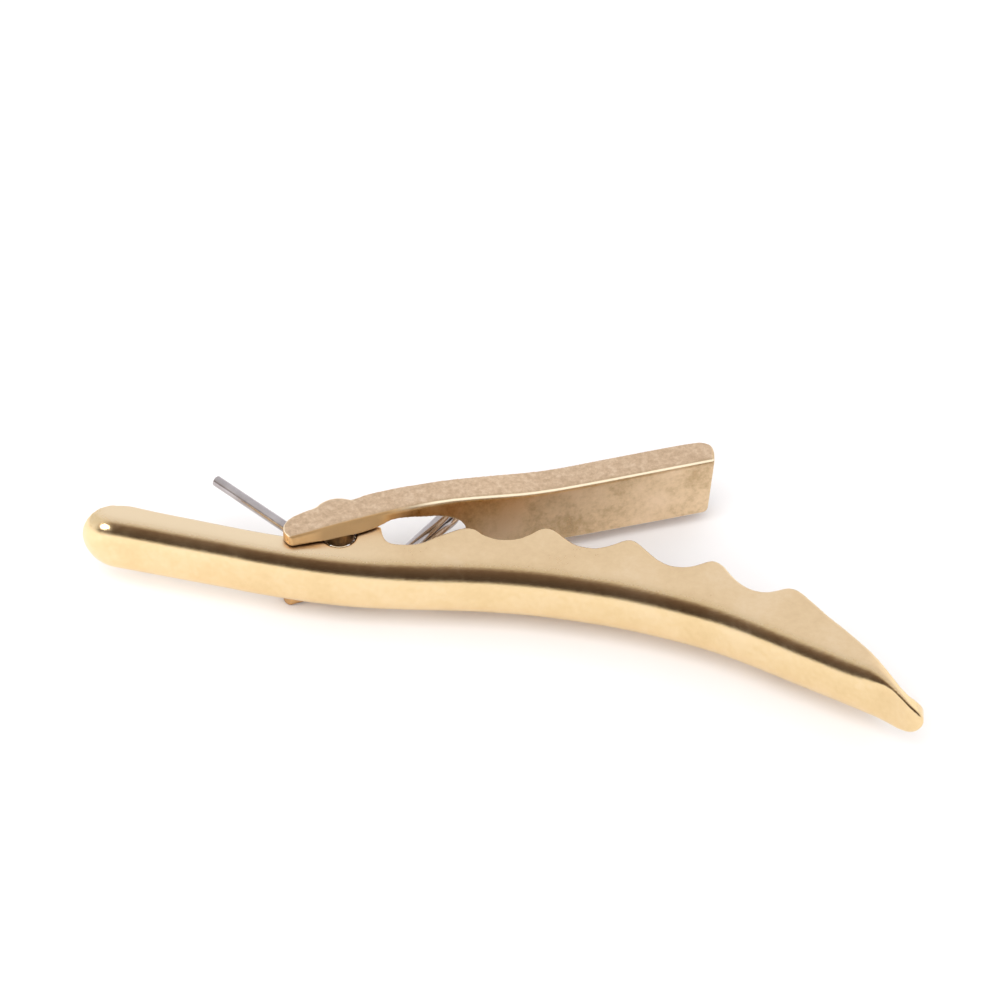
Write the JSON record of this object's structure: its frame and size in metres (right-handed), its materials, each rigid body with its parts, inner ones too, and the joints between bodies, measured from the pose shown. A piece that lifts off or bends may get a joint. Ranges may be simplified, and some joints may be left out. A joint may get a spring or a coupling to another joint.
{
  "type": "sectioning clip",
  "caption": "Small brass spring clip: a long curved toothed jaw with a pointed nose, a flat-webbed counter jaw hinged on it, and a steel torsion spring.",
  "frame": {"origin": "on the hinge axis, in the outer face of the lower hinge arm, which is the face the clip rests on when laid on its side", "axes": "+Z along the hinge axis, +X from the hinge towards the jaw tips, +Y towards the counter jaw"},
  "size_m": [0.0513, 0.0232, 0.0057],
  "materials": {
    "jaw_brass": "tumbled satin brass, smoother and brighter on the drawn web and bends, fine mottled grain on the flat side walls",
    "counter_brass": "duller mottled raw brass with polished bend lines and sheared edges",
    "spring_steel": "bright drawn steel wire with fine lengthwise streaks"
  },
  "bodies": {
    "toothed_jaw": {"toothed_jaw": "jaw_brass", "torsion_spring": "spring_steel"},
    "counter_jaw": {"counter_jaw": "counter_brass"}
  },
  "joints": [
    {"name": "jaw_hinge", "type": "hinge", "parent": "toothed_jaw", "child": "counter_jaw", "pos_m": [0, 0, 0.00285], "axis": [0, 0, 1], "range_deg": [-13, 20], "deforming": ["torsion_spring"]}
  ]
}
